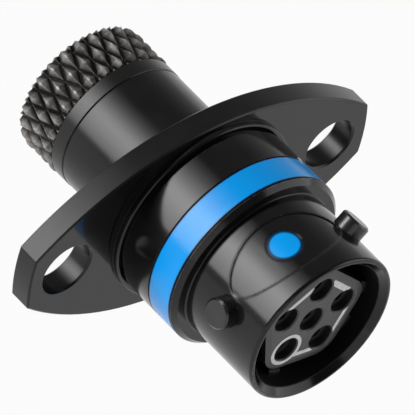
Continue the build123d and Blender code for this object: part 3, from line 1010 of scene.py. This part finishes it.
@dataclass(frozen=True)
class GuideMarking:
    """White guide line on the insert's face: a ring round one cavity, bars between the others."""

    face: float = 12.30 * MM
    film: float = 0.012 * MM
    lift: float = 0.001 * MM
    cavities: int = 5
    circle_radius: float = 2.33 * MM
    first_angle: float = 8.76
    cavity_clearance: float = 0.90 * MM
    ringed_cavity: int = 3
    ring_outer: float = 1.14 * MM
    ring_steps: int = 72
    bar_half: float = 1.0 * MM
    bar_margin: float = 0.04 * MM
    bar_steps: int = 24
    bars: tuple[GuideBar, ...] = (
        GuideBar(0, 2.45 * MM, 2.85 * MM),
        GuideBar(1, 2.45 * MM, 2.72 * MM),
        GuideBar(2, 2.46 * MM, 2.74 * MM),
        GuideBar(4, 2.52 * MM, 2.82 * MM),
    )
    ink: PrintingInk = PrintingInk()

    def build(self, dresser: Dresser) -> None:
        """Make the ring and the bars and print them in white ink."""
        dresser.add(self.ink, self.ring(), *(self.bar(plan) for plan in self.bars))

    def outward(self, position: float) -> Vector:
        """Direction (x, z) to a cavity, counted from the first, or to a gap half a step on."""
        return heading(math.radians(self.first_angle + position * 360.0 / self.cavities))

    def ring(self) -> bpy.types.Object:
        """Make the ring round one cavity.

        Returns:
            The ring's object.
        """
        centre = self.outward(self.ringed_cavity) * self.circle_radius
        around = [heading(math.tau * k / self.ring_steps) for k in range(self.ring_steps)]
        inner = [centre + spoke * self.cavity_clearance for spoke in around]
        outer = [centre + spoke * self.ring_outer for spoke in around]
        return self.film_strip("guide_ring", inner, outer, closed=True)

    def bar(self, plan: GuideBar) -> bpy.types.Object:
        """Make one bar, cut back where it meets a cavity or the ring.

        Args:
            plan: Where the bar lies.

        Returns:
            The bar's object.
        """
        outward = self.outward(plan.gap + 0.5)
        sideways = Vector((outward.y, -outward.x))
        half_step = math.pi / self.cavities
        side = self.circle_radius * math.sin(half_step)
        depth = self.circle_radius * math.cos(half_step)
        room = plan.outer - self.bar_margin - depth
        before, after = (
            self.ring_outer if cavity == self.ringed_cavity else self.cavity_clearance
            for cavity in (plan.gap, plan.gap + 1)
        )
        start, end = (
            min(self.bar_half, side - half_chord(clear, room)) for clear in (before, after)
        )
        inner, outer = [], []
        for k in range(self.bar_steps + 1):
            across = -start + (start + end) * k / self.bar_steps
            cut = depth + half_chord(after if across > 0.0 else before, side - abs(across))
            inner.append(sideways * across + outward * max(plan.inner, cut))
            outer.append(sideways * across + outward * plan.outer)
        return self.film_strip(f"guide_bar_{plan.gap + 1}", inner, outer, closed=False)

    def film_strip(
        self, name: str, inner: list[Vector], outer: list[Vector], closed: bool
    ) -> bpy.types.Object:
        """Make a thin film between two rows of points on the insert's face.

        Args:
            name: Name of the piece.
            inner: Points (x, z) of one border.
            outer: Points (x, z) of the other border.
            closed: Whether the last points join the first.

        Returns:
            The film's object.
        """
        count = len(inner)
        back, front = -self.face - self.lift, -self.face - self.film
        rows = ((inner, back), (outer, back), (outer, front), (inner, front))
        points = [(point.x, level, point.y) for row, level in rows for point in row]
        starts = [count * k for k in range(len(rows))]
        faces = []
        for k in range(count if closed else count - 1):
            n = (k + 1) % count
            for this, following in zip(starts, starts[1:] + starts[:1]):
                faces.append((this + k, following + k, following + n, this + n))
        if not closed:
            faces += [tuple(start + k for start in starts) for k in (0, count - 1)]
        mesh = bpy.data.meshes.new(name)
        mesh.from_pydata(points, [], faces)
        work = bmesh.new()
        work.from_mesh(mesh)
        bmesh.ops.recalc_face_normals(work, faces=work.faces)
        work.to_mesh(mesh)
        work.free()
        return bpy.data.objects.new(name, mesh)


@dataclass(frozen=True)
class ContactInsert:
    """The two insert mouldings with six contacts, their hoods and their clips."""

    contacts: int = 6
    plastic: MouldedPlastic = MouldedPlastic()
    gold: BareMetal = BareMetal("gold_plating", (0.83, 0.60, 0.25), (0.66, 0.43, 0.15), 0.24)
    steel: BareMetal = BareMetal("stainless_steel", (0.62, 0.61, 0.59), (0.48, 0.46, 0.43), 0.28)
    copper: BareMetal = BareMetal("beryllium_copper", (0.72, 0.45, 0.28), (0.45, 0.25, 0.15), 0.33)
    marking: GuideMarking = GuideMarking()

    def dress(self, dresser: Dresser) -> None:
        """Give every piece its finish and print the guide line.

        Args:
            dresser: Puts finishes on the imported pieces.
        """
        numbers = range(1, self.contacts + 1)
        dresser.coat(self.plastic, "front_insert", "rear_insert")
        dresser.coat(self.gold, *(f"contact_body_{k}" for k in numbers))
        dresser.coat(self.steel, *(f"contact_hood_{k}" for k in numbers))
        dresser.coat(self.copper, *(f"retention_clip_{k}" for k in numbers))
        self.marking.build(dresser)


# What a graded cloth before the key lamp lets through: position from the lamp's upper end, strength
KEY_FALLOFF: tuple[Span, ...] = (
    (0.0, 0.02),
    (0.08, 0.07),
    (0.21, 0.20),
    (0.36, 0.52),
    (0.49, 0.90),
    (0.57, 0.97),
    (0.69, 0.83),
    (0.84, 0.63),
    (1.0, 0.53),
)


@dataclass(frozen=True)
class SoftBox:
    """A rectangular studio lamp that faces the connector."""

    name: str
    direction: Point
    distance: float
    length: float
    width: float
    power: float
    falloff: tuple[Span, ...] = ()

    def build(self) -> None:
        """Make the lamp, its long side turned round the connector's axis."""
        lamp = bpy.data.lights.new(self.name, "AREA")
        lamp.shape = "RECTANGLE"
        lamp.size = self.length
        lamp.size_y = self.width
        lamp.energy = self.power
        if self.falloff:
            self.grade(lamp)
        toward = Vector(self.direction).normalized()
        along = toward.cross(Vector((0.0, 1.0, 0.0))).normalized()
        lamp_object = bpy.data.objects.new(self.name, lamp)
        axes = (along, toward.cross(along), toward)
        lamp_object.matrix_world = stand(toward * self.distance, axes)
        bpy.context.scene.collection.objects.link(lamp_object)

    def grade(self, lamp: bpy.types.Light) -> None:
        """Let the strength change along the lamp's long side, as behind a graded cloth.

        Args:
            lamp: The lamp to grade.
        """
        lamp.use_nodes = True
        wiring = Wiring(lamp.node_tree)
        ramp = wiring.node("ValToRGB")
        across = wiring.node("NewGeometry").outputs["Parametric"]
        wiring.feed(ramp.inputs[0], wiring.component(across, Axis.X))
        stops = ramp.color_ramp.elements
        for position, _ in self.falloff[1:-1]:
            stops.new(position)
        for stop, (_, strength) in zip(stops, self.falloff):
            stop.color = (strength, strength, strength, 1.0)
        wiring.supply(lamp.node_tree.nodes["Emission"], Strength=ramp.outputs["Color"])


@dataclass(frozen=True)
class Studio:
    """Plain pale floor, soft lamps and a pale surround."""

    floor_height: float = -32.0 * MM
    floor_size: float = 30.0
    floor_colour: Colour = (0.93, 0.93, 0.93)
    floor_roughness: float = 0.8
    floor_gloss: float = 0.1
    floor_lift: float = 0.88
    horizon: float = 0.6
    ceiling: float = 0.19
    ceiling_height: float = 0.6
    front_shade: float = 0.3
    front_range: Span = (-0.7, 0.3)
    lamps: tuple[SoftBox, ...] = (
        SoftBox("key", (-0.5515, 0.4845, 0.6794), 1.0, 1.4, 0.38, 18.4, falloff=KEY_FALLOFF),
        SoftBox("left_fill", (-0.53, -0.84, 0.14), 1.0, 0.8, 0.7, 1.7),
        SoftBox("right_fill", (0.80, -0.55, 0.25), 1.0, 0.8, 0.7, 3.2),
    )

    def build(self) -> None:
        """Make the floor, the world and the lamps."""
        self.build_floor()
        self.build_world()
        for lamp in self.lamps:
            lamp.build()
            log.info("lamp %s is set", lamp.name)
        bpy.context.scene.view_settings.view_transform = "Standard"

    def build_floor(self) -> None:
        """Lay the floor below the connector."""
        low, high = -self.floor_size / 2, self.floor_size / 2
        corners = ((low, low), (high, low), (high, high), (low, high))
        mesh = bpy.data.meshes.new("floor")
        mesh.from_pydata([(x, y, self.floor_height) for x, y in corners], [], [(0, 1, 2, 3)])
        mesh.materials.append(self.floor_material())
        floor = bpy.data.objects.new("floor", mesh)
        bpy.context.scene.collection.objects.link(floor)

    def floor_material(self) -> bpy.types.Material:
        """Make a matt floor that takes shadows and shows nearly white.

        Returns:
            The floor's material.
        """
        material = bpy.data.materials.new("pale_floor")
        material.use_nodes = True
        wiring = Wiring(material.node_tree)
        matt = material.node_tree.nodes["Principled BSDF"]
        wiring.supply(matt, Base_Color=self.floor_colour, Roughness=self.floor_roughness)
        wiring.supply(matt, Specular_IOR_Level=self.floor_gloss)
        white = wiring.node("Emission")
        wiring.supply(white, Color=WHITE, Strength=1.0)
        blend = wiring.node("MixShader")
        lift = wiring.product(self.seen_directly(wiring), self.floor_lift)
        for socket, source in zip(blend.inputs, (lift, matt.outputs[0], white.outputs[0])):
            wiring.feed(socket, source)
        wiring.supply(material.node_tree.nodes["Material Output"], Surface=blend.outputs[0])
        return material

    def seen_directly(self, wiring: Wiring) -> Socket:
        """Mark the rays that see the floor itself, straight on, mirrored or through glass.

        Args:
            wiring: The wiring to add the nodes to.

        Returns:
            One for camera, glossy and transmission rays, zero for light that the floor scatters.
        """
        rays = wiring.node("LightPath").outputs
        glossy, clear = rays["Is Glossy Ray"], rays["Is Transmission Ray"]
        mirrored = wiring.maths(Operation.MAXIMUM, glossy, clear)
        return wiring.maths(Operation.MAXIMUM, rays["Is Camera Ray"], mirrored)

    def build_world(self) -> None:
        """Surround the connector with a pale horizon, a dimmer ceiling and a dark front."""
        world = bpy.data.worlds.new("surround")
        bpy.context.scene.world = world
        world.use_nodes = True
        wiring = Wiring(world.node_tree)
        direction = wiring.node("TexCoord").outputs["Generated"]
        fade = Ramp(0.0, self.ceiling_height, self.horizon, self.ceiling)
        level = wiring.ramp(wiring.component(direction, Axis.Z), fade)
        dimming = Ramp(*self.front_range, self.front_shade, 1.0)
        shade = wiring.ramp(wiring.component(direction, Axis.Y), dimming)
        sky = world.node_tree.nodes["Background"]
        wiring.supply(sky, Color=WHITE, Strength=wiring.product(level, shade))


@dataclass(frozen=True)
class Viewpoint:
    """The camera, at the photograph's angle and distance, framed on the connector alone."""

    right: Point = (0.7749, -0.6163, 0.1400)
    up: Point = (0.3688, 0.6208, 0.6919)
    back: Point = (-0.5133, -0.4845, 0.7084)
    target: Point = (0.735 * MM, -1.557 * MM, -0.532 * MM)
    distance: float = 728.6 * MM
    nearest: float = 0.01
    farthest: float = 20.0
    sensor_mm: float = 36.0
    lens_mm: float = 1068.0

    def build(self) -> None:
        """Make the camera and set it as the scene's."""
        data = bpy.data.cameras.new("camera")
        data.sensor_width = self.sensor_mm
        data.lens = self.lens_mm
        data.clip_start = self.nearest
        data.clip_end = self.farthest
        camera = bpy.data.objects.new("camera", data)
        spot = Vector(self.target) + Vector(self.back).normalized() * self.distance
        camera.matrix_world = stand(spot, (self.right, self.up, self.back))
        bpy.context.scene.collection.objects.link(camera)
        bpy.context.scene.camera = camera


def heading(angle: float) -> Vector:
    """Direction (x, z) at an angle from +Z towards +X, in radians."""
    return Vector((math.sin(angle), math.cos(angle)))


def half_chord(radius: float, off_centre: float) -> float:
    """Half of a circle's chord at a distance from its centre, zero outside it."""
    return math.sqrt(max(0.0, radius**2 - off_centre**2))


def stand(spot: Vector, axes: tuple[Point | Vector, ...]) -> Matrix:
    """Matrix that puts an object at a spot, with its own three axes turned as given."""
    return Matrix.Translation(spot) @ Matrix(axes).transposed().to_4x4()


def main() -> None:
    """Load the connector, dress each sub-assembly and set the studio and the camera."""
    logging.basicConfig(level=logging.INFO, format="%(name)s: %(message)s")
    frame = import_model()
    dresser = Dresser(frame["nodes"], EffectLibrary())
    for assembly in (ShellAssembly(), RearEnd(), ContactInsert()):
        log.info("dressing %s", type(assembly).__name__)
        assembly.dress(dresser)
    Studio().build()
    Viewpoint().build()


if __name__ == "__main__":
    main()
